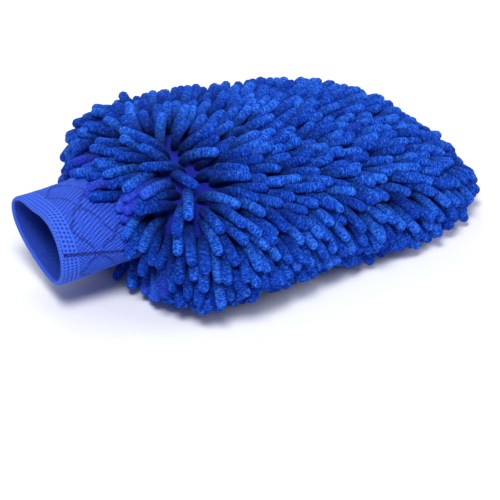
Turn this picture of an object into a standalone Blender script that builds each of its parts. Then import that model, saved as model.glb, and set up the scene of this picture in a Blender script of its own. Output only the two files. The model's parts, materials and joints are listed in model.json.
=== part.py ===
"""Chenille car wash mitt: a tufted pocket for the hand and a knitted elastic cuff.

Metres, +Z up. The mitt lies on its lower tufts, with the cuff towards -X and the
finger end towards +X. The origin is on the surface it rests on, under its centre.
Every cloth layer of the pocket is one offset of the same pillow surface, so the
layers nest with known gaps. Each row of chenille tufts is one solid.
"""

import bisect
import math

import bmesh
import bpy
from mathutils import Matrix, Vector

MM = 0.001

# Pocket: the outer face of the backing cloth is the reference surface
POCKET_LENGTH = 200 * MM
POCKET_HALF_WIDTH = 70 * MM
POCKET_HALF_HEIGHT = 25 * MM
MOUTH_X = -81.4 * MM  # puts the origin under the middle of the mitt
MIDDLE_HEIGHT = 39 * MM  # the seam plane above the surface the mitt rests on
CORNER_DEPTH = 36 * MM  # how far the finger end's corners are rounded off
END_ROUND_SHARE = 0.28  # the share of the length over which the finger end closes
END_SINK = 9 * MM  # the seam plane sinks by this much towards the finger end
WIDTH_SHARES = ((0.0, 0.7), (0.06, 0.89), (0.14, 1.0), (0.3, 1.02), (0.65, 1.0), (1.0, 0.9))
HEIGHT_SHARES = ((0.0, 0.92), (0.08, 1.04), (0.2, 1.12), (0.5, 1.02), (0.8, 0.86), (1.0, 0.74))
MOUTH_FLARE = 0.55  # how far the pile leans out over the cuff at the mouth
FLARE_SHARE = 0.13
SEAM_GAP = 0.4 * MM
LAYER_GAP = 0.3 * MM

# Cloth layers and pile
BACKING_THICKNESS = 0.9 * MM
LINING_THICKNESS = 0.7 * MM
LINING_DROP_CROWN = 1.4 * MM  # below the reference surface at the crown
LINING_DROP_SEAM = 4.9 * MM  # and at the seam, where the seam allowance lies
PILE_DEPTH = 17 * MM
ROW_EDGE_DEPTH = 13.5 * MM  # a row of tufts is rounded off towards its sides
ROWS = 13
ROW_GAP_ANGLE = 0.016
CREST_SHARE = 0.27

# Cuff
CUFF_LENGTH = 54 * MM
CUFF_TUCK = 3 * MM  # how far its sewn end sits inside the pocket's mouth
CUFF_SEAM_HALF = (41 * MM, 18.5 * MM)
CUFF_RIM_HALF = (32 * MM, 21.5 * MM)
CUFF_DROOP = 3.5 * MM
CUFF_ROLL = math.radians(25)
CUFF_WAVES = (  # waves round the rim, their height, and where they start
    (2, 3.8 * MM, math.radians(186)),
    (3, 2.1 * MM, math.radians(111)),
)
KNIT_THICKNESS = 0.8 * MM
THREAD_ROOM = 1.2 * MM  # between the cuff's two knitted faces
THREAD_RADIUS = 0.3 * MM
THREADS = 8
THREAD_MARGIN = 2.5 * MM  # from the end threads to the ends of the faces
RIM_LENGTH = 2.4 * MM

# Sewing thread
STITCH_RADIUS = 0.35 * MM
STITCH_PITCH = 8 * MM
STITCH_SWING = 0.5 * MM
SEAM_START = 0.03  # the share of the pocket's length at which its seams start
PERIMETER_SEAM_DEPTH = 2.6 * MM
LINING_SEAM_DEPTH = 7.0 * MM
STITCH_STAND = 0.85 * MM  # the middle of a stitch stands this far off the cloth
JOINING_STITCHES = 44
JOINING_SWING = 0.8 * MM
SIDE_SEAM_ANGLES = (math.radians(195), math.radians(138))  # at the sewn end, at the rim
SIDE_SWAY = 0.02
SIDE_STITCHES = 18

STATIONS = 12
CUFF_POINTS = 24
CUFF_STATIONS = 5

CHENILLE = ("chenille_microfibre", (0.012, 0.085, 0.62), 0.95)
BACKING = ("backing_cloth", (0.035, 0.05, 0.55), 0.85)
LINING = ("lining_cloth", (0.015, 0.035, 0.32), 0.7)
KNIT = ("elastic_knit", (0.05, 0.11, 0.72), 0.8)
RUBBER = ("covered_rubber", (0.03, 0.06, 0.45), 0.6)
STITCH = ("sewing_thread", (0.03, 0.05, 0.5), 0.5)


def clear_scene():
    for item in list(bpy.data.objects):
        bpy.data.objects.remove(item)


def finish_material(finish):
    name, colour, roughness = finish
    material = bpy.data.materials.get(name)
    if material is None:
        material = bpy.data.materials.new(name)
        material.use_nodes = True
        shader = material.node_tree.nodes["Principled BSDF"]
        shader.inputs["Base Color"].default_value = (*colour, 1.0)
        shader.inputs["Roughness"].default_value = roughness
        shader.inputs["Metallic"].default_value = 0.0
    return material


def add_object(name, data, finish):
    item = bpy.data.objects.new(name, data)
    item.data.materials.append(finish_material(finish))
    bpy.context.scene.collection.objects.link(item)
    return item


def smooth_value(keys, at):
    """The value at a place on a smooth curve through (place, value) keys."""
    places = [place for place, _ in keys]
    i = min(max(bisect.bisect_right(places, at) - 1, 0), len(keys) - 2)

    def slope(k):
        low, high = max(k - 1, 0), min(k + 1, len(keys) - 1)
        return (keys[high][1] - keys[low][1]) / (keys[high][0] - keys[low][0])

    (x0, y0), (x1, y1) = keys[i], keys[i + 1]
    span = x1 - x0
    t = (at - x0) / span
    return (
        y0 * (2 * t**3 - 3 * t**2 + 1)
        + slope(i) * span * (t**3 - 2 * t**2 + t)
        + y1 * (3 * t**2 - 2 * t**3)
        + slope(i + 1) * span * (t**3 - t**2)
    )


# The pocket's pillow surface


def end_round(u):
    """1 along the pocket, falling to 0 at the finger end as a quarter of an ellipse."""
    into_end = max(0.0, (u - 1 + END_ROUND_SHARE) / END_ROUND_SHARE)
    return math.sqrt(max(0.0, 1 - into_end**2))


def middle_height(u):
    """The height of the seam plane, where the upper and lower halves meet."""
    return MIDDLE_HEIGHT - END_SINK * u**2


def pocket_point(u, angle):
    """A point of the upper half of the reference surface, from the mouth's centre line.

    u runs from 0 at the mouth to 1 at the finger end, and angle from 0 at the +Y
    seam over the crown to pi at the -Y seam.
    """
    closing = end_round(u)
    half_width = POCKET_HALF_WIDTH * smooth_value(WIDTH_SHARES, u)
    half_width -= CORNER_DEPTH * (1 - closing)
    half_height = POCKET_HALF_HEIGHT * smooth_value(HEIGHT_SHARES, u) * closing
    return Vector(
        (
            MOUTH_X + POCKET_LENGTH * u,
            half_width * math.cos(angle),
            half_height * math.sin(angle),
        )
    )


def outward(u, angle):
    """The surface's outward direction, leaning out towards the cuff at the mouth."""
    step = 0.0005
    u_in = min(max(u, step), 1 - step)
    angle_in = min(max(angle, step), math.pi - step)
    along = pocket_point(u_in + step, angle_in) - pocket_point(u_in - step, angle_in)
    around = pocket_point(u_in, angle_in + step) - pocket_point(u_in, angle_in - step)
    direction = around.cross(along).normalized()
    direction.x -= MOUTH_FLARE * max(0.0, 1 - u / FLARE_SHARE)
    if angle in (0.0, math.pi):
        direction.z = 0.0
    return direction.normalized()


def layer_point(u, angle, offset, side):
    """A point of the layer that lies offset outside the reference surface.

    side is 1 for the upper half of the pocket and -1 for the lower, whose pile is
    pressed flat by the surface it rests on.
    """
    place = pocket_point(u, angle) + offset * outward(u, angle)
    height = middle_height(u) + side * (max(place.z, 0.0) + SEAM_GAP / 2)
    return Vector((place.x, place.y, max(height, 0.0)))


def stations():
    """Shares of the pocket's length, closer together at the mouth and the finger end."""
    return [(1 - math.cos(math.pi * k / STATIONS)) / 2 for k in range(STATIONS + 1)]


def row_angles():
    """The angles between the rows of tufts, evenly spaced over the pile's surface."""
    fine = 720
    angles = [math.pi * k / fine for k in range(fine + 1)]
    places = [layer_point(0.45, angle, PILE_DEPTH, 1) for angle in angles]
    run = [0.0]
    for before, after in zip(places, places[1:]):
        run.append(run[-1] + (after - before).length)
    found = [angles[bisect.bisect_left(run, run[-1] * k / ROWS)] for k in range(ROWS)]
    return [*found, math.pi]


# Solids


def close_end(mesh, ring):
    """Close a ring whose second half runs back beside its first, as cloth does."""
    for k in range(len(ring) // 2 - 1):
        mesh.faces.new((ring[k], ring[k + 1], ring[-2 - k], ring[-1 - k]))


def extrude_through(name, sections, finish, closed=False):
    """A solid swept through rings of points, each the same count as the first."""
    mesh = bmesh.new()
    ring = [mesh.verts.new(place) for place in sections[0]]
    first_edges = [
        mesh.edges.new((vert, ring[(k + 1) % len(ring)])) for k, vert in enumerate(ring)
    ]
    first_ring, edges = ring, first_edges
    for section in sections[1:]:
        grown = bmesh.ops.extrude_edge_only(mesh, edges=edges)["geom"]
        new_verts = {part for part in grown if isinstance(part, bmesh.types.BMVert)}
        new_edges = {part for part in grown if isinstance(part, bmesh.types.BMEdge)}
        ring = [
            next(edge.other_vert(vert) for edge in vert.link_edges
                 if edge.other_vert(vert) in new_verts)
            for vert in ring
        ]
        for vert, place in zip(ring, section):
            vert.co = place
        edges = [edge for edge in new_edges if set(edge.verts) <= new_verts]
    if closed:
        bmesh.ops.bridge_loops(mesh, edges=first_edges + edges)
    else:
        close_end(mesh, first_ring)
        close_end(mesh, ring)
    bmesh.ops.triangulate(mesh, faces=mesh.faces, quad_method="SHORT_EDGE")
    bmesh.ops.recalc_face_normals(mesh, faces=mesh.faces)
    if mesh.calc_volume(signed=True) < 0:
        bmesh.ops.reverse_faces(mesh, faces=mesh.faces)
    data = bpy.data.meshes.new(name)
    mesh.to_mesh(data)
    mesh.free()
    data.shade_smooth()
    data.set_sharp_from_angle(angle=math.radians(40))
    return add_object(name, data, finish)


def thread_tube(name, places, finish, cyclic=False):
    """A sewing thread that follows the places, capped at its ends or closed in a ring."""
    line = bpy.data.curves.new(name, "CURVE")
    line.dimensions = "3D"
    line.bevel_depth = STITCH_RADIUS
    line.bevel_resolution = 0
    line.use_fill_caps = not cyclic
    spline = line.splines.new("POLY")
    spline.points.add(len(places) - 1)
    for point, place in zip(spline.points, places):
        point.co = (*place, 1.0)
    spline.use_cyclic_u = cyclic
    return add_object(name, line, finish)


def turn_on(pivot, pieces):
    """Hang the pieces on an empty that stands on their joint's axis."""
    hinge = bpy.data.objects.new("cuff_hinge", None)
    hinge.location = pivot
    bpy.context.scene.collection.objects.link(hinge)
    for piece in pieces:
        piece.parent = hinge
        piece.matrix_parent_inverse = Matrix.Translation(-pivot)


def tuft_row(index, angles, side):
    """One row of chenille tufts: a ridge that stands on the backing from mouth to tip."""
    low = angles[index] + (ROW_GAP_ANGLE / 2 if index else 0.0)
    high = angles[index + 1] - (ROW_GAP_ANGLE / 2 if index < ROWS - 1 else 0.0)
    crest_low = low + (high - low) * CREST_SHARE
    crest_high = high - (high - low) * CREST_SHARE
    profile = [
        (low, LAYER_GAP),
        (low, ROW_EDGE_DEPTH),
        (crest_low, PILE_DEPTH),
        (crest_high, PILE_DEPTH),
        (high, ROW_EDGE_DEPTH),
        (high, LAYER_GAP),
    ]
    sections = [
        [layer_point(u, angle, offset, side) for angle, offset in profile]
        for u in stations()
    ]
    half = "upper" if side > 0 else "lower"
    extrude_through(f"{half}_tuft_row_{index + 1:02d}", sections, CHENILLE)


def cloth_panel(name, angles, outer_offset, thickness, side, finish):
    """One shell of cloth over half of the pocket, its outer face at outer_offset."""
    sections = []
    for u in stations():
        outer = [(angle, outer_offset(u, angle)) for angle in angles]
        inner = [(angle, offset - thickness) for angle, offset in reversed(outer)]
        sections.append(
            [layer_point(u, angle, offset, side) for angle, offset in outer + inner]
        )
    extrude_through(name, sections, finish)


def backing_offset(_u, _angle):
    return 0.0


def lining_offset(u, angle):
    """The lining follows the backing at the crown and leaves room at the seam."""
    over_crown = math.sin(angle) * end_round(u)
    return -LINING_DROP_SEAM + (LINING_DROP_SEAM - LINING_DROP_CROWN) * over_crown


def seam_path(depth, swing, start_u):
    """Zigzag stitches round the pocket's edge, from the mouth round the finger end."""
    end_point = pocket_point(1.0, 0.0)
    side_run = POCKET_LENGTH * (1 - start_u)
    side_count = round(side_run / STITCH_PITCH)
    end_count = round(2 * end_point.y / STITCH_PITCH)
    along = [(start_u + (1 - start_u) * k / side_count, 0.0) for k in range(side_count)]
    across = [(1.0, math.acos(1 - 2 * k / end_count)) for k in range(end_count + 1)]
    back = [(u, math.pi) for u, _ in reversed(along)]
    places = []
    for k, (u, angle) in enumerate(along + across + back):
        sway = swing if k % 2 else -swing
        place = pocket_point(u, angle) + (sway - depth) * outward(u, angle)
        places.append((place.x, place.y, middle_height(u) + sway / 2))
    return places


# The cuff


def cuff_point(x, angle, inset):
    """A point of the cuff's oval tube at x, inset from its outer face."""
    share = (MOUTH_X + CUFF_TUCK - x) / (CUFF_LENGTH + CUFF_TUCK)
    half_width, half_height = (
        seam + (rim - seam) * share for seam, rim in zip(CUFF_SEAM_HALF, CUFF_RIM_HALF)
    )
    roll = CUFF_ROLL * share**2
    wave = sum(tall * math.sin(count * angle + turn) for count, tall, turn in CUFF_WAVES)
    out = wave * share**2 - inset
    flat = Vector(
        ((half_width + out) * math.cos(angle), (half_height + out) * math.sin(angle))
    )
    return Vector(
        (
            x,
            flat.x * math.cos(roll) - flat.y * math.sin(roll),
            MIDDLE_HEIGHT
            - CUFF_DROOP * share**2
            + flat.x * math.sin(roll)
            + flat.y * math.cos(roll),
        )
    )


def cuff_ring(x, inset):
    return [
        cuff_point(x, 2 * math.pi * k / CUFF_POINTS, inset) for k in range(CUFF_POINTS)
    ]


def knitted_face(name, outer_inset, finish):
    """One knitted face of the cuff, a tube from the sewn end to the rim."""
    start, end = MOUTH_X + CUFF_TUCK, MOUTH_X - CUFF_LENGTH + RIM_LENGTH
    xs = [start + (end - start) * k / CUFF_STATIONS for k in range(CUFF_STATIONS + 1)]
    outside = [cuff_ring(x, outer_inset) for x in xs]
    inside = [cuff_ring(x, outer_inset + KNIT_THICKNESS) for x in reversed(xs)]
    return extrude_through(name, outside + inside, finish, closed=True)


def cuff_rim():
    """The selvedge that closes the two knitted faces round the opening."""
    wall = 2 * KNIT_THICKNESS + THREAD_ROOM
    inner_end = MOUTH_X - CUFF_LENGTH + RIM_LENGTH - LAYER_GAP
    tip = MOUTH_X - CUFF_LENGTH
    bend = (inner_end + 2 * tip) / 3
    profile = (
        (inner_end, 0.0),
        (bend, 0.0),
        (tip, wall * 0.3),
        (tip, wall * 0.7),
        (bend, wall),
        (inner_end, wall),
    )
    rings = [cuff_ring(x, inset) for x, inset in profile]
    return extrude_through("cuff_rim", rings, KNIT, closed=True)


def elastic_threads():
    """Covered rubber threads that run round the cuff between its knitted faces."""
    inset = KNIT_THICKNESS + THREAD_ROOM / 2
    first = MOUTH_X - THREAD_MARGIN
    last = MOUTH_X - CUFF_LENGTH + RIM_LENGTH + THREAD_MARGIN
    threads = []
    diamond = (
        (THREAD_RADIUS, 0.0),
        (0.0, THREAD_RADIUS),
        (-THREAD_RADIUS, 0.0),
        (0.0, -THREAD_RADIUS),
    )
    for k in range(THREADS):
        x = first + (last - first) * k / (THREADS - 1)
        rings = [cuff_ring(x + dx, inset + dr) for dx, dr in diamond]
        name = f"elastic_thread_{k + 1:02d}"
        threads.append(extrude_through(name, rings, RUBBER, closed=True))
    return threads


def cuff_joining_seam():
    """Overlock stitches round the cuff's sewn end, just inside the pocket's mouth."""
    middle = MOUTH_X + CUFF_TUCK / 2 - JOINING_SWING / 2
    places = []
    for k in range(JOINING_STITCHES):
        x = middle + (JOINING_SWING if k % 2 else -JOINING_SWING)
        places.append(cuff_point(x, 2 * math.pi * k / JOINING_STITCHES, -STITCH_STAND))
    return thread_tube("cuff_joining_seam", places, STITCH, cyclic=True)


def cuff_side_seam():
    """The stitched line that closes the cuff's band into a tube."""
    first = MOUTH_X - THREAD_MARGIN
    run = CUFF_LENGTH - RIM_LENGTH - 2 * THREAD_MARGIN
    places = []
    sewn_angle, rim_angle = SIDE_SEAM_ANGLES
    for k in range(SIDE_STITCHES + 1):
        share = k / SIDE_STITCHES
        angle = sewn_angle + (rim_angle - sewn_angle) * share
        angle += SIDE_SWAY if k % 2 else -SIDE_SWAY
        places.append(cuff_point(first - run * share, angle, -STITCH_STAND))
    return thread_tube("cuff_side_seam", places, STITCH)


def main():
    clear_scene()
    angles = row_angles()
    lining_angles = [angles[0], *angles[2:-2], angles[-1]]
    for side, half in ((1, "upper"), (-1, "lower")):
        for index in range(ROWS):
            tuft_row(index, angles, side)
        cloth_panel(
            f"{half}_backing", angles, backing_offset, BACKING_THICKNESS, side, BACKING
        )
        cloth_panel(
            f"{half}_lining", lining_angles, lining_offset, LINING_THICKNESS, side, LINING
        )
    perimeter = seam_path(PERIMETER_SEAM_DEPTH, STITCH_SWING, SEAM_START)
    thread_tube("perimeter_seam", perimeter, STITCH)
    inner = seam_path(LINING_SEAM_DEPTH, STITCH_SWING / 2, 2 * SEAM_START)
    thread_tube("lining_seam", inner, STITCH)
    cuff = [
        knitted_face("cuff_face_knit", 0.0, KNIT),
        knitted_face("cuff_back_knit", KNIT_THICKNESS + THREAD_ROOM, KNIT),
        cuff_rim(),
        *elastic_threads(),
        cuff_joining_seam(),
        cuff_side_seam(),
    ]
    turn_on(Vector((MOUTH_X, 0.0, MIDDLE_HEIGHT)), cuff)


main()
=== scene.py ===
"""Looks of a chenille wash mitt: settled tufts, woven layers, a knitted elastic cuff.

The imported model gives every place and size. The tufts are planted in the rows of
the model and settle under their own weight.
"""

import json
import logging
import math
from collections.abc import Callable, Sequence
from dataclasses import dataclass, field
from enum import Enum
from typing import Any

import bmesh
import bpy
import numpy as np
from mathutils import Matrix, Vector
from mathutils.bvhtree import BVHTree


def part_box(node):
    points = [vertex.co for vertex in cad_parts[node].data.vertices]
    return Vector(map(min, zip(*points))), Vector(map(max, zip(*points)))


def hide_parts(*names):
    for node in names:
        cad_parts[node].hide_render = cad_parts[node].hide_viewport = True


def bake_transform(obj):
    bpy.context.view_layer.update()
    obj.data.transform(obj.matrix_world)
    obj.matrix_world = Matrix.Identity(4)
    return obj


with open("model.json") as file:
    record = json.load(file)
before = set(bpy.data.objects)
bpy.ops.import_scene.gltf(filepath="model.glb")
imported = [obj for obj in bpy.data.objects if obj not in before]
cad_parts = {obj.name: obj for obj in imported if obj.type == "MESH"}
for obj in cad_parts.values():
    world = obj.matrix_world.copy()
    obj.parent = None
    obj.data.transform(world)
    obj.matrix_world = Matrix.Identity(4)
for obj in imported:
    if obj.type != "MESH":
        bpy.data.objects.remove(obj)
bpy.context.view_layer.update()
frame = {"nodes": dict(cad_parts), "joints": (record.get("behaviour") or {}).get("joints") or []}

logging.basicConfig(level=logging.INFO, format="%(message)s")
log = logging.getLogger("wash_mitt")

MM = 0.001
TURN = 2 * math.pi
UP = np.array((0.0, 0.0, 1.0))
Place = Callable[[np.ndarray, np.ndarray], np.ndarray]


class Half(Enum):
    """The pocket's two panels, by the way each faces."""

    UPPER = 1
    LOWER = -1

    @property
    def label(self) -> str:
        """The word that starts the names of this panel's pieces."""
        return self.name.lower()


class Slot(Enum):
    """The record's material slots."""

    CHENILLE = "chenille"
    BACKING = "backing"
    LINING = "lining"
    CUFF_KNIT = "cuff_knit"
    ELASTIC = "elastic"
    THREAD = "thread"


# Small tools


def linear(colour: str) -> tuple[float, float, float, float]:
    """Turn an sRGB colour into the linear one that a shader takes.

    Args:
        colour: The colour as "#RRGGBB".

    Returns:
        Red, green, blue and an alpha of 1.
    """
    channels = [int(colour[k : k + 2], 16) / 255 for k in (1, 3, 5)]
    curved = [
        c / 12.92 if c <= 0.04045 else ((c + 0.055) / 1.055) ** 2.4 for c in channels
    ]
    return (curved[0], curved[1], curved[2], 1.0)


def unit(vectors: np.ndarray) -> np.ndarray:
    """Scale each vector along the last axis to a length of 1."""
    return vectors / np.maximum(np.linalg.norm(vectors, axis=-1, keepdims=True), 1e-12)


def add_node(
    tree: bpy.types.NodeTree,
    kind: str,
    settings: dict[Any, Any] | None = None,
    links: dict[Any, bpy.types.NodeSocket] | None = None,
) -> bpy.types.Node:
    """Add a shader node with its settings and links.

    Args:
        tree: The material's node tree.
        kind: The node's type name without its "ShaderNode" prefix.
        settings: Values for inputs, by name or number, or for the node's own
            properties. The key "stops" holds a colour ramp's places and colours.
        links: The output that feeds each named or numbered input.

    Returns:
        The new node.
    """
    node = tree.nodes.new(f"ShaderNode{kind}")
    for key, value in (settings or {}).items():
        if key == "stops":
            ramp = node.color_ramp.elements
            for index, (place, colour) in enumerate(value):
                stop = ramp[index] if index < 2 else ramp.new(place)
                stop.position, stop.color = place, linear(colour)
        elif isinstance(key, int) or key in node.inputs:
            node.inputs[key].default_value = value
        else:
            setattr(node, key, value)
    for key, source in (links or {}).items():
        tree.links.new(source, node.inputs[key])
    return node


def glide(
    t: np.ndarray, start: np.ndarray, leaving: np.ndarray, end: np.ndarray, arriving: np.ndarray
) -> np.ndarray:
    """Pass smoothly from one value to the next, with a given slope at each.

    Args:
        t: Share of the way, 0 at the first value and 1 at the second.
        start: The first value.
        leaving: The slope there.
        end: The second value.
        arriving: The slope there.

    Returns:
        The value at each share.
    """
    return (
        start * (2 * t**3 - 3 * t**2 + 1)
        + leaving * (t**3 - 2 * t**2 + t)
        + end * (3 * t**2 - 2 * t**3)
        + arriving * (t**3 - t**2)
    )


def smooth_shares(keys: Sequence[tuple[float, float]], at: np.ndarray) -> np.ndarray:
    """Read a smooth curve through (place, value) keys.

    Args:
        keys: The curve's places and values, in order.
        at: The places to read.

    Returns:
        The value at each place.
    """
    places, values = np.array(keys).T
    slopes = np.gradient(values) / np.gradient(places)
    index = np.clip(np.searchsorted(places, at, side="right") - 1, 0, len(keys) - 2)
    span = places[index + 1] - places[index]
    t = (at - places[index]) / span
    leaving, arriving = slopes[index] * span, slopes[index + 1] * span
    return glide(t, values[index], leaving, values[index + 1], arriving)


def start_material(name: str) -> tuple[bpy.types.Material, bpy.types.NodeTree]:
    """Start a material that has only its main shader.

    Args:
        name: The material's name.

    Returns:
        The material and its node tree.
    """
    made = bpy.data.materials.new(name)
    made.use_nodes = True
    return made, made.node_tree


def finish_shader(
    tree: bpy.types.NodeTree,
    colour: bpy.types.NodeSocket,
    height: bpy.types.NodeSocket,
    strength: float,
    depth: float,
    settings: dict[str, Any],
) -> None:
    """Feed the main shader its colour and fine relief, and set its other values.

    Args:
        tree: The material's node tree.
        colour: The surface's colour.
        height: The height of the fine relief.
        strength: How strongly the relief turns the surface.
        depth: The relief's real depth.
        settings: The shader's values that are the same all over.
    """
    bump = add_node(tree, "Bump", {"Strength": strength, "Distance": depth}, {"Height": height})
    shader = tree.nodes["Principled BSDF"]
    tree.links.new(colour, shader.inputs["Base Color"])
    tree.links.new(bump.outputs["Normal"], shader.inputs["Normal"])
    for name, value in settings.items():
        shader.inputs[name].default_value = value


# Finishes


@dataclass(frozen=True)
class ChenilleFinish:
    """Split microfibre chenille, tufted from wound yarn.

    Its pile scatters light at grazing angles into a pale velvet edge. Its short fibres
    lie in fine broken ridges round each tuft, where the yarn was wound. Shade between
    the tufts is painted into the colour: each is painted dark at its root and is
    palest at its brushed tip.
    """

    # The painted shade laid on each tuft near its root.
    root: str = "#00062E"
    deep: str = "#032083"
    body: str = "#0E46BE"
    light: str = "#3A84FC"
    violet: str = "#3A36D4"
    grain: float = 1.9 * MM
    ridge: float = 0.85 * MM
    tone_share: float = 0.14

    def material(self) -> bpy.types.Material:
        """Make the shader.

        Returns:
            The material, which reads the attributes "tone", "along" and "violet", and
            "share", the share of the tuft's length, which sets the painted shade at the root.
        """
        made, tree = start_material("chenille_microfibre")
        place = add_node(tree, "TexCoord").outputs["Object"]
        along, tone, violet, share = (
            add_node(tree, "Attribute", {"attribute_name": name}).outputs["Fac"]
            for name in ("along", "tone", "violet", "share")
        )
        across = add_node(
            tree, "VectorMath", {"operation": "SCALE", "Scale": 1 / self.grain}, {0: place}
        ).outputs[0]
        step_along = add_node(
            tree, "Math", {"operation": "DIVIDE", 1: self.ridge}, {0: along}
        ).outputs[0]
        grain = add_node(
            tree,
            "TexNoise",
            {"noise_dimensions": "4D", "Scale": 1.0, "Detail": 2.0, "Roughness": 0.7},
            {"Vector": across, "W": step_along},
        ).outputs["Fac"]
        level = add_node(
            tree, "Math", {"operation": "MULTIPLY_ADD", 1: self.tone_share}, {0: tone, 2: grain}
        ).outputs[0]
        # Noise seldom leaves the middle of its range, so the ramp's stops lie there too.
        blue = add_node(
            tree,
            "ValToRGB",
            {"stops": ((0.42, self.deep), (0.76, self.light), (0.58, self.body))},
            {"Fac": level},
        ).outputs["Color"]
        dyed = add_node(
            tree, "Mix", {"data_type": "RGBA", 7: linear(self.violet)}, {0: violet, 6: blue}
        ).outputs[2]
        # Painted shade: a tuft is painted dark over the first tenth from its root and has its
        # own colour near the tip.
        lit = add_node(
            tree,
            "MapRange",
            {"From Min": 0.1, "From Max": 0.85, "To Min": 0.0, "To Max": 1.0},
            {"Value": share},
        ).outputs["Result"]
        colour = add_node(
            tree, "Mix", {"data_type": "RGBA", 6: linear(self.root)}, {0: lit, 7: dyed}
        ).outputs[2]
        # Matt fibres with a velvet edge: little gloss, and a sheen of the yarn's blue.
        settings = {
            "Roughness": 0.9,
            "IOR": 1.5,
            "Specular IOR Level": 0.1,
            "Sheen Weight": 0.3,
            "Sheen Roughness": 0.45,
            "Sheen Tint": linear("#2A6CFF"),
        }
        finish_shader(tree, colour, grain, 1.0, 1.0 * MM, settings)
        return made


@dataclass(frozen=True)
class WovenFinish:
    """Plain woven polyester cloth: a matt weave of threads that cross at right angles."""

    name: str
    warp: str
    weft: str
    pitch: float
    roughness: float = 0.85

    def material(self) -> bpy.types.Material:
        """Make the shader.

        Returns:
            The material, whose weave follows the piece's own UV map in metres.
        """
        made, tree = start_material(self.name)
        run = add_node(tree, "UVMap", {"uv_map": "cloth"}).outputs["UV"]
        weave = add_node(
            tree,
            "TexChecker",
            {"Color1": (1, 1, 1, 1), "Color2": (0, 0, 0, 1), "Scale": 1 / self.pitch},
            {"Vector": run},
        ).outputs["Fac"]
        grain = add_node(
            tree, "TexNoise", {"Scale": 1.4 / self.pitch, "Detail": 3.0}, {"Vector": run}
        ).outputs["Fac"]
        colour = add_node(
            tree,
            "Mix",
            {"data_type": "RGBA", 6: linear(self.warp), 7: linear(self.weft)},
            {0: weave},
        ).outputs[2]
        height = add_node(tree, "Math", {"operation": "ADD"}, {0: weave, 1: grain}).outputs[0]
        settings = {
            "Roughness": self.roughness,
            "IOR": 1.5,
            "Specular IOR Level": 0.2,
            "Sheen Weight": 0.05,
            "Sheen Roughness": 0.5,
        }
        finish_shader(tree, colour, height, 0.5, 0.15 * MM, settings)
        return made


@dataclass(frozen=True)
class KnitFinish:
    """Elastic knitted from textured polyester yarn over covered rubber.

    Its colour carries painted light: from the height stored on the cloth, the raised
    stitches get a painted highlight and the grooves a painted shade.
    """

    name: str
    # Painted shade for the grooves, the body's colour, and a painted highlight for the crests.
    groove: str
    body: str
    stitch: str
    yarn: float = 0.55 * MM

    def material(self) -> bpy.types.Material:
        """Make the shader.

        Returns:
            The material, which reads the attribute "raised" for its painted highlight and shade.
        """
        made, tree = start_material(self.name)
        place = add_node(tree, "TexCoord").outputs["Object"]
        raised = add_node(tree, "Attribute", {"attribute_name": "raised"}).outputs["Fac"]
        fibre = add_node(
            tree, "TexNoise", {"Scale": 1 / self.yarn, "Detail": 3.0}, {"Vector": place}
        ).outputs["Fac"]
        # The fibre's noise is centred on 0, so that it doesn't raise the stitches.
        mottle = add_node(
            tree, "Math", {"operation": "MULTIPLY_ADD", 1: 0.35, 2: -0.17}, {0: fibre}
        ).outputs[0]
        level = add_node(tree, "Math", {"operation": "ADD"}, {0: raised, 1: mottle}).outputs[0]
        # Painted light: the stitches' height runs from painted shade in the grooves to a painted
        # highlight on the crests.
        colour = add_node(
            tree,
            "ValToRGB",
            {"stops": ((0.08, self.groove), (0.95, self.stitch), (0.5, self.body))},
            {"Fac": level},
        ).outputs["Color"]
        settings = {
            "Roughness": 0.75,
            "IOR": 1.5,
            "Specular IOR Level": 0.3,
            "Sheen Weight": 0.25,
            "Sheen Roughness": 0.45,
            "Sheen Tint": linear("#6F98FF"),
        }
        finish_shader(tree, colour, fibre, 0.5, 0.2 * MM, settings)
        return made


@dataclass(frozen=True)
class ThreadFinish:
    """Twisted polyester sewing thread: two plies whose turns are painted as slanting bands of
    highlight and shade.
    """

    name: str
    # The painted highlight on the plies, then the painted shade between them.
    ply: str
    shade: str
    twist: float = 0.8 * MM
    slant: float = math.radians(35)

    def material(self) -> bpy.types.Material:
        """Make the shader.

        Returns:
            The material, whose twist follows the piece's own UV map in metres.
        """
        made, tree = start_material(self.name)
        run = add_node(tree, "UVMap", {"uv_map": "cloth"}).outputs["UV"]
        turned = add_node(
            tree, "Mapping", {"Rotation": (0.0, 0.0, self.slant)}, {"Vector": run}
        ).outputs["Vector"]
        # The wave's phase grows by 20 a metre at a scale of 1, so this makes a band a twist.
        plies = add_node(
            tree,
            "TexWave",
            {"Scale": TURN / 20 / self.twist, "Distortion": 0.5},
            {"Vector": turned},
        ).outputs["Fac"]
        # Painted light: the bands are painted highlight on the plies and painted shade between
        # them.
        colour = add_node(
            tree,
            "Mix",
            {"data_type": "RGBA", 6: linear(self.shade), 7: linear(self.ply)},
            {0: plies},
        ).outputs[2]
        settings = {"Roughness": 0.55, "IOR": 1.55, "Sheen Weight": 0.2}
        finish_shader(tree, colour, plies, 0.6, 0.1 * MM, settings)
        return made


# Shapes of the mitt


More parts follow.
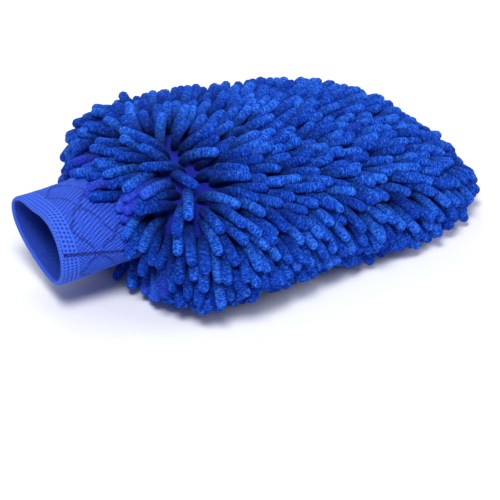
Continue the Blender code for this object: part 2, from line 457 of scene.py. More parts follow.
@dataclass(frozen=True)
class PocketShape:
    """The pocket's pillow surface: the outer face of the backing cloth.

    Its width and height follow shares of the half width and half height, from the
    mouth to the finger end, where both close over the end share of the length.
    """

    mouth_x: float
    length: float
    half_width: float
    half_height: float
    mouth_z: float
    settled_length: float = 1.025
    model_widest: float = 1.02
    model_tallest: float = 1.12
    end_sink: float = 17 * MM
    back_rise: float = 5.5 * MM
    back_place: float = 0.2
    corner_depth: float = 36 * MM
    end_share: float = 0.28
    flare: float = 0.55
    flare_share: float = 0.13
    seam_gap: float = 0.4 * MM
    pile_depth: float = 17 * MM
    rows: int = 13
    row_place: float = 0.45
    width_shares: tuple[tuple[float, float], ...] = (
        (0.0, 0.64),
        (0.06, 0.96),
        (0.14, 1.08),
        (0.3, 1.06),
        (0.65, 1.0),
        (1.0, 0.95),
    )
    height_shares: tuple[tuple[float, float], ...] = (
        (0.0, 0.80),
        (0.08, 1.08),
        (0.2, 1.15),
        (0.5, 1.0),
        (0.8, 0.78),
        (1.0, 0.6),
    )

    @classmethod
    def of_frame(cls) -> "PocketShape":
        """Read the pocket's place and size from the model's backing cloth.

        Returns:
            The shape of the model's backing, eased where the filled cloth has settled.
        """
        low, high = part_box("upper_backing")
        hinge_z = frame["joints"][0]["pos_m"][2]
        return cls(
            mouth_x=low.x,
            length=cls.settled_length * (high.x - low.x),
            half_width=(high.y - low.y) / 2 / cls.model_widest,
            half_height=(high.z - hinge_z) / cls.model_tallest,
            mouth_z=hinge_z,
        )

    def middle(self, u: np.ndarray) -> np.ndarray:
        """Find the seam plane's height: up over the hand's back, down at the fingers."""
        run = u / self.back_place
        return self.mouth_z + self.back_rise * run * np.exp(1 - run) - self.end_sink * u**2

    def surface(self, u: np.ndarray, angle: np.ndarray) -> np.ndarray:
        """Find points of the upper half, from the middle of the seam plane.

        Args:
            u: Share of the length, 0 at the mouth and 1 at the finger end.
            angle: 0 at the +Y seam, over the crown, to pi at the -Y seam.

        Returns:
            The points, with height counted from the seam plane.
        """
        into_end = np.maximum(0.0, (u - 1 + self.end_share) / self.end_share)
        closing = np.sqrt(np.maximum(0.0, 1 - into_end**2))
        width = self.half_width * smooth_shares(self.width_shares, u)
        width = width - self.corner_depth * (1 - closing)
        height = self.half_height * smooth_shares(self.height_shares, u) * closing
        return np.stack(
            (self.mouth_x + self.length * u, width * np.cos(angle), height * np.sin(angle)),
            axis=-1,
        )

    def outward(self, u: np.ndarray, angle: np.ndarray) -> np.ndarray:
        """Find the upper half's outward directions, leaning out at the mouth.

        Args:
            u: Share of the length.
            angle: Place round the section.

        Returns:
            The directions, each 1 long.
        """
        step = 0.0005
        u_in = np.clip(u, step, 1 - step)
        angle_in = np.clip(angle, step, math.pi - step)
        along = self.surface(u_in + step, angle_in) - self.surface(u_in - step, angle_in)
        round_it = self.surface(u_in, angle_in + step) - self.surface(u_in, angle_in - step)
        normal = unit(np.cross(round_it, along))
        normal[..., 0] -= self.flare * np.maximum(0.0, 1 - u / self.flare_share)
        return unit(normal)

    def layer(
        self, u: np.ndarray, angle: np.ndarray, offset: float | np.ndarray, half: Half
    ) -> np.ndarray:
        """Find points of a layer outside the backing's outer face.

        Args:
            u: Share of the length.
            angle: Place round the section.
            offset: Distance outside the outer face.
            half: The panel.

        Returns:
            The points, in the mitt's own frame.
        """
        u, angle = np.broadcast_arrays(np.asarray(u, float), np.asarray(angle, float))
        offsets = np.broadcast_to(np.asarray(offset, float), u.shape)
        points = self.surface(u, angle) + offsets[..., None] * self.outward(u, angle)
        rise = np.maximum(points[..., 2], 0.0) + self.seam_gap / 2
        points[..., 2] = self.middle(u) + half.value * rise
        return points

    def row_angles(self) -> np.ndarray:
        """Find the angles between a panel's rows, evenly spaced over its pile.

        Returns:
            The angles, one more than there are rows.
        """
        # In quarters of a degree.
        angles = np.linspace(0.0, math.pi, 721)
        edge = self.layer(self.row_place, angles, self.pile_depth, Half.UPPER)
        run = np.concatenate(([0.0], np.cumsum(np.linalg.norm(np.diff(edge, axis=0), axis=1))))
        return np.interp(np.linspace(0, run[-1], self.rows + 1), run, angles)


@dataclass(frozen=True)
class CuffShape:
    """The cuff's oval tube, which rolls, twists and waves towards its rim."""

    sewn_x: float
    rim_x: float
    hinge_z: float
    sewn_half: tuple[float, float] = (41 * MM, 18.5 * MM)
    rim_half: tuple[float, float] = (32 * MM, 21.5 * MM)
    droop: float = 3.5 * MM
    roll: float = math.radians(25)
    waves: tuple[tuple[int, float, float], ...] = (
        (2, 3.8 * MM, math.radians(186)),
        (3, 2.1 * MM, math.radians(111)),
    )
    scallop: float = 1.2 * MM
    scallop_turn: float = 0.7
    wall: float = 2.8 * MM
    seam_turns: tuple[float, float] = (math.radians(202), math.radians(131))

    @classmethod
    def of_frame(cls) -> "CuffShape":
        """Read the cuff's place from the model's knitted face, rim and hinge.

        Returns:
            The shape that the model's cuff has.
        """
        _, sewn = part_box("cuff_face_knit")
        rim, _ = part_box("cuff_rim")
        return cls(
            sewn_x=sewn.x, rim_x=rim.x, hinge_z=frame["joints"][0]["pos_m"][2]
        )

    @property
    def run(self) -> float:
        """The cuff's length from its sewn end to its rim."""
        return self.sewn_x - self.rim_x

    def place(
        self, around: np.ndarray, share: np.ndarray, inset: float | np.ndarray
    ) -> np.ndarray:
        """Find points of the tube, counted round from its side seam.

        Args:
            around: Share of the way round, from the side seam, which twists a little.
            share: 0 at the sewn end, 1 at the rim.
            inset: Depth below the outer face, which is negative outside it.

        Returns:
            The points, in the mitt's own frame.
        """
        first, last = self.seam_turns
        angle = TURN * around + first + (last - first) * share
        grow = np.clip(share, 0, 1.1) ** 2
        width, height = (
            sewn + (rim - sewn) * share for sewn, rim in zip(self.sewn_half, self.rim_half)
        )
        wave = sum(tall * np.sin(count * angle + turn) for count, tall, turn in self.waves)
        out = wave * grow - inset
        across = (width + out) * np.cos(angle)
        lift = (height + out) * np.sin(angle)
        roll = self.roll * grow
        slide = self.scallop * np.sin(2 * angle - self.scallop_turn) * grow
        return np.stack(
            np.broadcast_arrays(
                self.sewn_x - self.run * share + slide,
                across * np.cos(roll) - lift * np.sin(roll),
                self.hinge_z
                - self.droop * grow
                + across * np.sin(roll)
                + lift * np.cos(roll),
            ),
            axis=-1,
        )


# Building pieces


@dataclass
class Workshop:
    """Makes finished pieces, hides the model's parts that they stand for and reports them."""

    bend_start: Vector
    bend_end: Vector
    made: list[str] = field(default_factory=list)

    def finish(
        self,
        piece: bpy.types.Object,
        material: bpy.types.Material,
        slot: Slot,
        nodes: Sequence[str],
    ) -> bpy.types.Object:
        """Dress a piece, hide the model's nodes that it stands for and log it.

        Args:
            piece: The piece, its place in its mesh.
            material: Its material.
            slot: Not used.
            nodes: The model's nodes that it stands for.

        Returns:
            The same piece.
        """
        piece.data.materials.append(material)
        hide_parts(*nodes)
        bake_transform(piece)
        self.made.append(piece.name)
        log.info("%s: %d faces", piece.name, len(piece.data.polygons))
        return piece

    def link(self, name: str, mesh: bmesh.types.BMesh) -> bpy.types.Object:
        """Turn a bmesh into a smooth object in the scene.

        Args:
            name: The piece's name.
            mesh: Its bmesh, which is freed.

        Returns:
            The new object.
        """
        data = bpy.data.meshes.new(name)
        mesh.to_mesh(data)
        mesh.free()
        data.shade_smooth()
        piece = bpy.data.objects.new(name, data)
        bpy.context.scene.collection.objects.link(piece)
        return piece

    def cloth(
        self,
        name: str,
        cells: tuple[int, int],
        place: Place,
        size: tuple[float, float],
        raised: Place | None = None,
        closed: tuple[bool, bool] = (False, False),
        thickness: float = 0.0,
    ) -> bpy.types.Object:
        """Lay a square mesh of cloth along a surface.

        Args:
            name: The piece's name.
            cells: Cells across and along.
            place: The surface, from shares across and along.
            size: The cloth's cut size across and along, for its UV map.
            raised: The height of its stitches, 0 to 1, stored for its finish, which paints
            highlight on the crests and shade in the grooves from it.
            closed: Whether the cloth meets itself across, and along.
            thickness: A wall's thickness, inwards. 0 leaves the mesh as it is.

        Returns:
            The new object.
        """
        mesh = bmesh.new()
        bmesh.ops.create_grid(mesh, x_segments=cells[0], y_segments=cells[1], size=0.5)
        shares = np.array([vert.co[:2] for vert in mesh.verts]) + 0.5
        sheet_map = mesh.loops.layers.uv.new("cloth")
        for face in mesh.faces:
            for loop in face.loops:
                across, along, _ = loop.vert.co
                loop[sheet_map].uv = ((across + 0.5) * size[0], (along + 0.5) * size[1])
        if raised is not None:
            height = mesh.verts.layers.float.new("raised")
            for vert, value in zip(mesh.verts, raised(shares[:, 0], shares[:, 1])):
                vert[height] = value
        for vert, point in zip(mesh.verts, place(shares[:, 0], shares[:, 1])):
            vert.co = point
        if any(closed):
            rim = [vert for vert in mesh.verts if vert.is_boundary]
            bmesh.ops.remove_doubles(mesh, verts=rim, dist=1e-6)
        ends = [edge for edge in mesh.edges if edge.is_boundary]
        if all(closed) or (closed[0] and not thickness):
            bmesh.ops.holes_fill(mesh, edges=ends)
        bmesh.ops.recalc_face_normals(mesh, faces=mesh.faces)
        piece = self.link(name, mesh)
        if thickness:
            wall = piece.modifiers.new("wall", "SOLIDIFY")
            wall.thickness = thickness
            wall.offset = -1.0
        return piece

    def tube(
        self, name: str, path: np.ndarray, radius: float, sides: int, closed: bool
    ) -> bpy.types.Object:
        """Sweep a round thread along a path.

        Args:
            name: The piece's name.
            path: The points that it follows.
            radius: Its radius.
            sides: Its number of sides.
            closed: Whether its end meets its start.

        Returns:
            The new object.
        """
        if closed:
            path = np.vstack((path, path[:1]))
        ahead = np.roll(path, -1, axis=0) - path
        ahead[-1] = ahead[0] if closed else ahead[-2]
        behind = np.roll(ahead, 1, axis=0)
        behind[0] = ahead[-1] if closed else ahead[0]
        heading = unit(unit(ahead) + unit(behind))
        if closed:
            heading[-1] = heading[0]
        # Leaning off the upright, so that no part of the thread can run along it.
        side = unit(np.cross(heading, UP + 0.05))
        over = np.cross(side, heading)
        last = len(path) - 1

        def place(around: np.ndarray, along: np.ndarray) -> np.ndarray:
            """Find a point on the thread's skin."""
            index, turn = np.rint(along * last).astype(int), TURN * around[:, None]
            return path[index] + radius * (
                np.cos(turn) * side[index] + np.sin(turn) * over[index]
            )

        run = float(np.linalg.norm(np.diff(path, axis=0), axis=1).sum())
        return self.cloth(
            name, (sides, last), place, (TURN * radius, run), closed=(True, closed)
        )


# The tufts


@dataclass
class Tufts:
    """All the tufts of the mitt, one entry of each array for each tuft."""

    row: np.ndarray
    root: np.ndarray
    normal: np.ndarray
    lean: np.ndarray
    length: np.ndarray
    radius: np.ndarray


@dataclass
class PileSettler:
    """Lets the tufts fall and lean on each other until they lie still.

    Tilts are in degrees. Weight, comb and drift are moves in one step.
    """

    points: int = 8
    steps: int = 200
    rounds: int = 2
    seed: int = 5
    first_tilt: float = 32.0
    tilt_gain: float = 46.0
    tilt_spread: float = 10.0
    stray_tilt: float = 30.0
    stray_share: float = 0.07
    memory: float = 0.86
    calming: float = 4.0
    weight: float = 0.020 * MM
    comb: float = 0.045 * MM
    comb_until: float = 0.6
    most_drift: float = 0.8 * MM
    most_push: float = 1.0 * MM
    push_share: float = 0.3
    stiffness: float = 0.22
    root_stiffness: float = 0.25
    root_share: float = 0.5
    swell: float = 3.0
    contact_share: float = 0.90
    renew_every: int = 6
    skin: float = 1.6 * MM

    def start(self, tufts: Tufts) -> np.ndarray:
        """Lay each tuft along an arc that rises from its root and leans over.

        Args:
            tufts: The tufts.

        Returns:
            The centre line of each tuft, as tufts by points by 3.
        """
        share = np.linspace(0, 1, self.points)
        rng = np.random.default_rng(self.seed)
        own = rng.normal(0, self.tilt_spread, (len(tufts.root), 1))
        own -= self.stray_tilt * (rng.random(own.shape) < self.stray_share)
        lying = np.linalg.norm(tufts.lean, axis=1, keepdims=True)
        degrees = lying * (self.first_tilt + self.tilt_gain * share) + own
        tilt = np.radians(degrees)[..., None]
        lean = unit(tufts.lean)
        heading = np.cos(tilt) * tufts.normal[:, None] + np.sin(tilt) * lean[:, None]
        step = (tufts.length / (self.points - 1))[:, None, None]
        middle = unit((heading[:, 1:] + heading[:, :-1]) / 2) * step
        root = tufts.root[:, None]
        return np.concatenate((root, root + np.cumsum(middle, axis=1)), axis=1)

    def near_pairs(self, flat: np.ndarray, reach: float) -> tuple[np.ndarray, np.ndarray]:
        """Find the pairs of points of different tufts that are within reach.

        Args:
            flat: All the points, tuft by tuft.
            reach: The distance, which is also the size of the search's cells.

        Returns:
            The numbers of the two points of each pair.
        """
        cell = np.floor((flat - flat.min(0)) / reach).astype(np.int64) + 1
        shape = cell.max(0) + 2
        key = (cell[:, 0] * shape[1] + cell[:, 1]) * shape[2] + cell[:, 2]
        order = np.argsort(key, kind="stable")
        ordered = key[order]
        found: list[tuple[np.ndarray, np.ndarray]] = []
        steps = [
            (x * shape[1] + y) * shape[2] + z
            for x in (0, 1)
            for y in (-1, 0, 1)
            for z in (-1, 0, 1)
            if (x, y, z) >= (0, 0, 0)
        ]
        for step in steps:
            first = np.searchsorted(ordered, ordered + step, side="left")
            last = np.searchsorted(ordered, ordered + step, side="right")
            if step == 0:
                first = np.arange(len(ordered)) + 1
            count = np.maximum(last - first, 0)
            left = np.repeat(np.arange(len(ordered)), count)
            start = np.repeat(first - np.concatenate(([0], np.cumsum(count)[:-1])), count)
            found.append((order[left], order[start + np.arange(len(left))]))
        one = np.concatenate([pair[0] for pair in found])
        other = np.concatenate([pair[1] for pair in found])
        apart = np.linalg.norm(flat[one] - flat[other], axis=1)
        keep = (one // self.points != other // self.points) & (apart < reach)
        return one[keep], other[keep]

    def settle(self, tufts: Tufts, solid: BVHTree, floor: float) -> np.ndarray:
        """Find the tufts' centre lines at rest.

        Args:
            tufts: The tufts.
            solid: The pocket and cuff that they lie on.
            floor: The height of the surface under the mitt.

        Returns:
            The centre line of each tuft, as tufts by points by 3.
        """
        now = self.start(tufts)
        count = len(tufts.root)
        share = np.linspace(0, 1, self.points)
        swelling = (1 - self.root_share) * np.clip(share * self.swell, 0, 1)
        fat = (self.root_share + swelling) * self.contact_share
        reach = (tufts.radius[:, None] * fat).reshape(-1)
        segment = (tufts.length / (self.points - 1))[:, None]
        base = unit(now[:, 1] - now[:, 0])
        past = now.copy()
        free = np.ones((count, self.points, 1))
        free[:, 0] = 0
        loose = free.reshape(-1)
        pull = share[None, :, None] * tufts.lean[:, None] * self.comb
        for step in range(self.steps):
            ease = max(0.0, 1 - step / (self.comb_until * self.steps))
            memory = self.memory * min(1.0, self.calming * (1 - step / self.steps))
            drift = np.clip((now - past) * memory, -self.most_drift, self.most_drift)
            past = now.copy()
            now = now + free * (drift + pull * ease - self.weight * UP)
            flat = now.reshape(-1, 3)
            if step % self.renew_every == 0:
                one, other = self.near_pairs(flat, 2 * reach.max() + self.skin)
                wall, facing = self.walls(flat, solid)
            for _ in range(self.rounds):
                self.push_apart(flat, one, other, reach, loose)
                self.hold_lengths(now, segment, base)
                self.keep_out(flat, wall, facing, reach, floor, loose)
        return now

    def push_apart(
        self,
        flat: np.ndarray,
        one: np.ndarray,
        other: np.ndarray,
        reach: np.ndarray,
        loose: np.ndarray,
    ) -> None:
        """Move points of different tufts apart where they overlap.

        Args:
            flat: All the points, which are moved.
            one: The first point of each pair.
            other: The second point of each pair.
            reach: Each point's own radius.
            loose: 0 for a root, which stays, and 1 for the other points.
        """
        gap = flat[one] - flat[other]
        apart = np.sqrt((gap**2).sum(1)) + 1e-9
        deep = reach[one] + reach[other] - apart
        touch = deep > 0
        a, b = one[touch], other[touch]
        push = gap[touch] * (self.push_share * deep[touch] / apart[touch])[:, None]
        size = len(flat)
        for axis in range(3):
            moved = np.bincount(a, push[:, axis], size) - np.bincount(b, push[:, axis], size)
            flat[:, axis] += np.clip(moved, -self.most_push, self.most_push) * loose

    def hold_lengths(self, now: np.ndarray, segment: np.ndarray, base: np.ndarray) -> None:
        """Keep each tuft's length and its springy straightness.

        A point gives half of a bend's correction, and each of its neighbours a quarter.

        Args:
            now: The centre lines, which are moved.
            segment: The length between two points of each tuft.
            base: The direction in which each tuft leaves its root.
        """
        sprung = now[:, 0] + base * segment
        now[:, 1] += self.root_stiffness * (sprung - now[:, 1])
        curve = now[:, :-2] - 2 * now[:, 1:-1] + now[:, 2:]
        now[:, 1:-1] += 0.5 * self.stiffness * curve
        now[:, 2:] -= 0.25 * self.stiffness * curve
        now[:, 1:-2] -= 0.25 * self.stiffness * curve[:, 1:]
        for k in range(1, self.points):
            link = now[:, k] - now[:, k - 1]
            now[:, k] = now[:, k - 1] + unit(link) * segment

    def walls(self, flat: np.ndarray, solid: BVHTree) -> tuple[np.ndarray, np.ndarray]:
        """Find the nearest wall to each point.

        Args:
            flat: All the points.
            solid: The pocket and the cuff.

        Returns:
            The place on the wall and the outward direction there.
        """
        wall = np.empty_like(flat)
        facing = np.empty_like(flat)
        for index, point in enumerate(flat):
            wall[index], facing[index], _, _ = solid.find_nearest(point)
        out = flat - wall
        ahead = (out * facing).sum(1) > 0
        facing[ahead] = unit(out[ahead])
        return wall, facing

    def keep_out(
        self,
        flat: np.ndarray,
        wall: np.ndarray,
        facing: np.ndarray,
        reach: np.ndarray,
        floor: float,
        loose: np.ndarray,
    ) -> None:
        """Keep points outside the pocket and the cuff, and above the floor.

        Args:
            flat: All the points, which are moved.
            wall: The nearest place on a wall to each.
            facing: The outward direction there.
            reach: Each point's own radius.
            floor: The height of the surface under the mitt.
            loose: 0 for a root, which stays, and 1 for the other points.
        """
        deep = reach - ((flat - wall) * facing).sum(1)
        flat += facing * (np.maximum(deep, 0) * loose)[:, None]
        np.maximum(flat[:, 2], floor + reach * loose, out=flat[:, 2], where=loose > 0)


@dataclass
class Pile:
    """The chenille pile: every tuft of both panels, one piece for each row.

    A spread is a normal spread with the least and the most that it may give. Pairs of
    numbers for the two panels give the upper one first.
    """

    shape: PocketShape
    workshop: Workshop
    tuft_length: float = 26.5 * MM
    tuft_radius: float = 3.15 * MM
    length_spread: tuple[float, float, float] = (0.05, 0.88, 1.12)
    radius_spread: tuple[float, float, float] = (0.035, 0.9, 1.1)
    ring_spread: float = 0.02
    spacing: float = 9.2 * MM
    least_apart: float = 6.3 * MM
    lanes: tuple[float, float] = (0.25, 0.75)
    spaced_at: float = 0.6
    scatter: float = 0.9 * MM
    turn_scatter: float = 0.012
    mouth_tufts: tuple[float, ...] = (1 * MM, 8 * MM, 15 * MM)
    parting_sides: tuple[float, float] = (-0.62, -0.3)
    upper_parting: float = 17 * MM
    lower_parting: float = 0.2
    parting_width: float = 12 * MM
    disorder: tuple[float, float] = (0.10, 1.1)
    hang: tuple[float, float] = (1.1, 0.6)
    standing: float = 0.5
    root_width: float = 0.62
    swell_share: float = 0.28
    tip_radii: float = 1.05
    violet_reach: tuple[float, float] = (4 * MM, 8 * MM)
    violet_choice: tuple[float, ...] = (0.0, 0.0, 0.0, 0.5)
    grain_shift: float = 5 * MM
    floor_gap: float = 0.5 * MM
    sides: int = 8
    samples: int = 500
    plant_seed: int = 7
    look_seed: int = 11
    settler: PileSettler = field(default_factory=PileSettler)
    rings: tuple[float, ...] = (0.0, 0.05, 0.16, 0.32, 0.48, 0.64, 0.79, 0.90, 0.965, 0.993)

    def plant(self) -> Tufts:
        """Set the tufts in two lanes along each row, none too close to another.

        Returns:
            The tufts.
        """
        rng = np.random.default_rng(self.plant_seed)
        shape = self.shape
        angles = shape.row_angles()
        depth = self.spaced_at * shape.pile_depth
        u = np.linspace(0, 1, self.samples)
        found: list[tuple[int, float, float, int]] = []
        for half in Half:
            first = 0 if half is Half.UPPER else shape.rows
            for index in range(shape.rows):
                for side, lane in enumerate(self.lanes):
                    angle = angles[index] + (angles[index + 1] - angles[index]) * lane
                    path = shape.layer(u, angle, depth, half)
                    steps = np.linalg.norm(np.diff(path, axis=0), axis=1)
                    run = np.concatenate(([0.0], np.cumsum(steps)))
                    count = round(run[-1] / self.spacing)
                    shift = self.lanes[(side + index) % 2]
                    wanted = (np.arange(count) + shift) * run[-1] / count
                    wanted += rng.normal(0, self.scatter, count)
                    wanted = np.append(wanted, self.mouth_tufts)
                    for place in np.interp(wanted, run, u):
                        turn = angle + rng.normal(0, self.turn_scatter)
                        found.append((first + index, float(place), turn, half.value))
        rows, ahead, turns, signs = (np.array(values) for values in zip(*found))
        upper, lower = (shape.layer(ahead, turns, depth, half) for half in Half)
        middle = np.where((signs > 0)[:, None], upper, lower)
        kept: list[int] = []
        for index in rng.permutation(len(found)):
            apart = np.linalg.norm(middle[kept] - middle[index], axis=1)
            if not kept or apart.min() > self.least_apart:
                kept.append(int(index))
        kept.sort()
        ahead, turns, signs = ahead[kept], turns[kept], signs[kept]
        root = shape.surface(ahead, turns)
        root[:, 2] = shape.middle(ahead) + signs * (root[:, 2] + shape.seam_gap / 2)
        normal = shape.outward(ahead, turns) * (signs[:, None] * UP + (1 - UP))
        lean = self.leaning(root, normal, signs, rng)
        share, least, most = self.length_spread
        length = self.tuft_length * rng.normal(1.0, share, len(kept)).clip(least, most)
        share, least, most = self.radius_spread
        radius = self.tuft_radius * rng.normal(1.0, share, len(kept)).clip(least, most)
        return Tufts(rows[kept], root, normal, lean, length, radius)

    def leaning(
        self,
        root: np.ndarray,
        normal: np.ndarray,
        signs: np.ndarray,
        rng: np.random.Generator,
    ) -> np.ndarray:
        """Find the way each tuft leans: away from where the pile parts, and down.

        Args:
            root: The tufts' roots.
            normal: The outward directions there.
            signs: 1 on the upper panel, -1 on the lower.
            rng: Random numbers.

        Returns:
            The directions, along the surface, shorter where the tufts stand up.
        """
        shape = self.shape
        sides = (share * shape.half_width for share in self.parting_sides)
        upper = signs > 0
        lower_place = self.lower_parting * shape.length
        parting = np.zeros_like(root)
        parting[:, 0] = shape.mouth_x + np.where(upper, self.upper_parting, lower_place)
        parting[:, 1] = np.where(upper, np.clip(root[:, 1], *sides), 0.0)
        apart = (root - parting) * (1 - UP)
        distance = np.linalg.norm(apart, axis=1, keepdims=True)
        near = np.exp(-((distance / self.parting_width) ** 2))
        least, more = self.disorder
        away = unit(apart) + rng.normal(0, 1, apart.shape) * (least + more * near)
        along = away - (away * normal).sum(1, keepdims=True) * normal
        down = -UP - (-UP * normal).sum(1, keepdims=True) * normal
        steep = np.clip(1 - normal[:, 2:] ** 2, 0, 1)
        leaning = unit(along + steep * np.where(upper[:, None], *self.hang) * down)
        return leaning * (1 - self.standing * near * upper[:, None])

    def template(self) -> bpy.types.Mesh:
        """Make one straight tuft, a ring at each whole height and a pole at each end.

        Returns:
            The tuft's mesh, a few dozen faces.
        """
        mesh = bmesh.new()
        bmesh.ops.create_circle(
            mesh, cap_ends=True, cap_tris=True, segments=self.sides, radius=1.0
        )
        for _ in self.rings[1:]:
            edge = [edge for edge in mesh.edges if edge.is_boundary]
            grown = bmesh.ops.extrude_edge_only(mesh, edges=edge)["geom"]
            verts = [part for part in grown if isinstance(part, bmesh.types.BMVert)]
            bmesh.ops.translate(mesh, verts=verts, vec=(0.0, 0.0, 1.0))
        edge = [edge for edge in mesh.edges if edge.is_boundary]
        cap = bmesh.ops.edgeloop_fill(mesh, edges=edge)["faces"]
        pole = bmesh.ops.poke(mesh, faces=cap)["verts"]
        bmesh.ops.translate(mesh, verts=pole, vec=(0.0, 0.0, 1.0))
        bmesh.ops.recalc_face_normals(mesh, faces=mesh.faces)
        data = bpy.data.meshes.new("one_tuft")
        mesh.to_mesh(data)
        mesh.free()
        return data

    def profile(self, share: np.ndarray, tufts: Tufts) -> np.ndarray:
        """Find each tuft's radius along its length: a thin root and a blunt round tip.

        Args:
            share: Shares of the length.
            tufts: The tufts.

        Returns:
            The radii, as tufts by shares.
        """
        tip = (self.tip_radii * tufts.radius / tufts.length)[:, None]
        into_tip = np.clip((share[None] - (1 - tip)) / tip, 0, 1)
        swelling = np.clip(share / self.swell_share, 0, 1) ** 0.7
        body = self.root_width + (1 - self.root_width) * swelling
        # The last ring stays a little open, and the pole closes it.
        return tufts.radius[:, None] * body[None] * np.sqrt(1 - into_tip**2 * 0.999)

    def build(self) -> list[bpy.types.Object]:
        """Plant, settle and mesh the tufts.

        Returns:
            One piece for each row.
        """
        tufts = self.plant()
        solid = self.solid()
        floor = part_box("lower_tuft_row_07")[0].z + self.floor_gap
        lines = self.settler.settle(tufts, solid, floor)
        log.info("pile: %d tufts", len(tufts.root))
        rng = np.random.default_rng(self.look_seed)
        one = self.template()
        corners = np.array([vert.co for vert in one.vertices])
        ring = np.rint(corners[:, 2]).astype(int)
        share = np.array([*self.rings, 1.0])
        centre, heading = self.sample(lines, share)
        side = unit(np.cross(heading[:, 0], rng.normal(0, 1, heading[:, 0].shape)))
        sides = [side]
        for k in range(1, len(share)):
            side = unit(side - (side * heading[:, k]).sum(1, keepdims=True) * heading[:, k])
            sides.append(side)
        turn = np.stack(sides, axis=1)
        over = np.cross(heading, turn)
        uneven = rng.normal(1, self.ring_spread, (len(lines), len(share)))
        radius = self.profile(share, tufts) * uneven
        verts = centre[:, ring] + radius[:, ring, None] * (
            corners[:, 0, None] * turn[:, ring] + corners[:, 1, None] * over[:, ring]
        )
        tone = rng.uniform(0, 1, len(lines))
        violet = self.violet_share(lines, rng)
        along = share[ring][None] * tufts.length[:, None] + tone[:, None] * self.grain_shift
        material = ChenilleFinish().material()
        pieces = []
        for row in range(2 * self.shape.rows):
            mine = tufts.row == row
            half = Half.UPPER if row < self.shape.rows else Half.LOWER
            node = f"{half.label}_tuft_row_{row % self.shape.rows + 1:02d}"
            mesh = bmesh.new()
            for _ in range(int(mine.sum())):
                mesh.from_mesh(one)
            piece = self.workshop.link(f"{node}_chenille", mesh)
            data = piece.data
            data.vertices.foreach_set("co", verts[mine].astype(np.float32).ravel())
            spread = np.ones((1, len(ring)))
            # The share along each tuft also sets the painted shade at its root.
            for name, values in (
                ("tone", tone[mine][:, None] * spread),
                ("violet", violet[mine][:, None] * spread),
                ("along", along[mine]),
                ("share", share[ring][None] * np.ones((int(mine.sum()), 1))),
            ):
                layer = data.attributes.new(name, "FLOAT", "POINT")
                layer.data.foreach_set("value", values.astype(np.float32).ravel())
            data.update()
            pieces.append(self.workshop.finish(piece, material, Slot.CHENILLE, [node]))
        bpy.data.meshes.remove(one)
        return pieces

    def violet_share(self, lines: np.ndarray, rng: np.random.Generator) -> np.ndarray:
        """Find how violet each tuft is: some of those that lie on the cuff are.

        Args:
            lines: The centre lines of the settled tufts.
            rng: Random numbers.

        Returns:
            The share of violet in each tuft's colour.
        """
        start, fade = self.violet_reach
        over_cuff = np.clip((self.shape.mouth_x - start - lines[:, -1, 0]) / fade, 0, 1)
        return over_cuff * rng.choice(self.violet_choice, len(lines))

    def sample(self, lines: np.ndarray, share: np.ndarray) -> tuple[np.ndarray, np.ndarray]:
        """Read smooth curves through the settled centre lines.

        Args:
            lines: The centre lines, as tufts by points by 3.
            share: The shares of the length to read.

        Returns:
            The places and the headings, as tufts by shares by 3.
        """
        slopes = np.gradient(lines, axis=1)
        at = share * (lines.shape[1] - 1)
        index = np.clip(at.astype(int), 0, lines.shape[1] - 2)
        t = (at - index)[None, :, None]
        a, b = lines[:, index], lines[:, index + 1]
        p, q = slopes[:, index], slopes[:, index + 1]
        places = glide(t, a, p, b, q)
        heading = (
            a * (6 * t**2 - 6 * t)
            + p * (3 * t**2 - 4 * t + 1)
            + b * (6 * t - 6 * t**2)
            + q * (3 * t**2 - 2 * t)
        )
        return places, unit(heading)

    def solid(self) -> BVHTree:
        """Join the backing's faces and the cuff into one tree of walls.

        Returns:
            The tree.
        """
        verts: list[Vector] = []
        faces: list[tuple[int, ...]] = []
        walls = [frame["nodes"][node].data for node in ("cuff_face_knit", "cuff_rim")]
        walls += [bpy.data.objects[f"{half.label}_backing_cloth"].data for half in Half]
        for wall in walls:
            first = len(verts)
            verts.extend(vert.co.copy() for vert in wall.vertices)
            faces.extend(tuple(first + k for k in face.vertices) for face in wall.polygons)
        return BVHTree.FromPolygons(verts, faces)


# The pocket's cloth


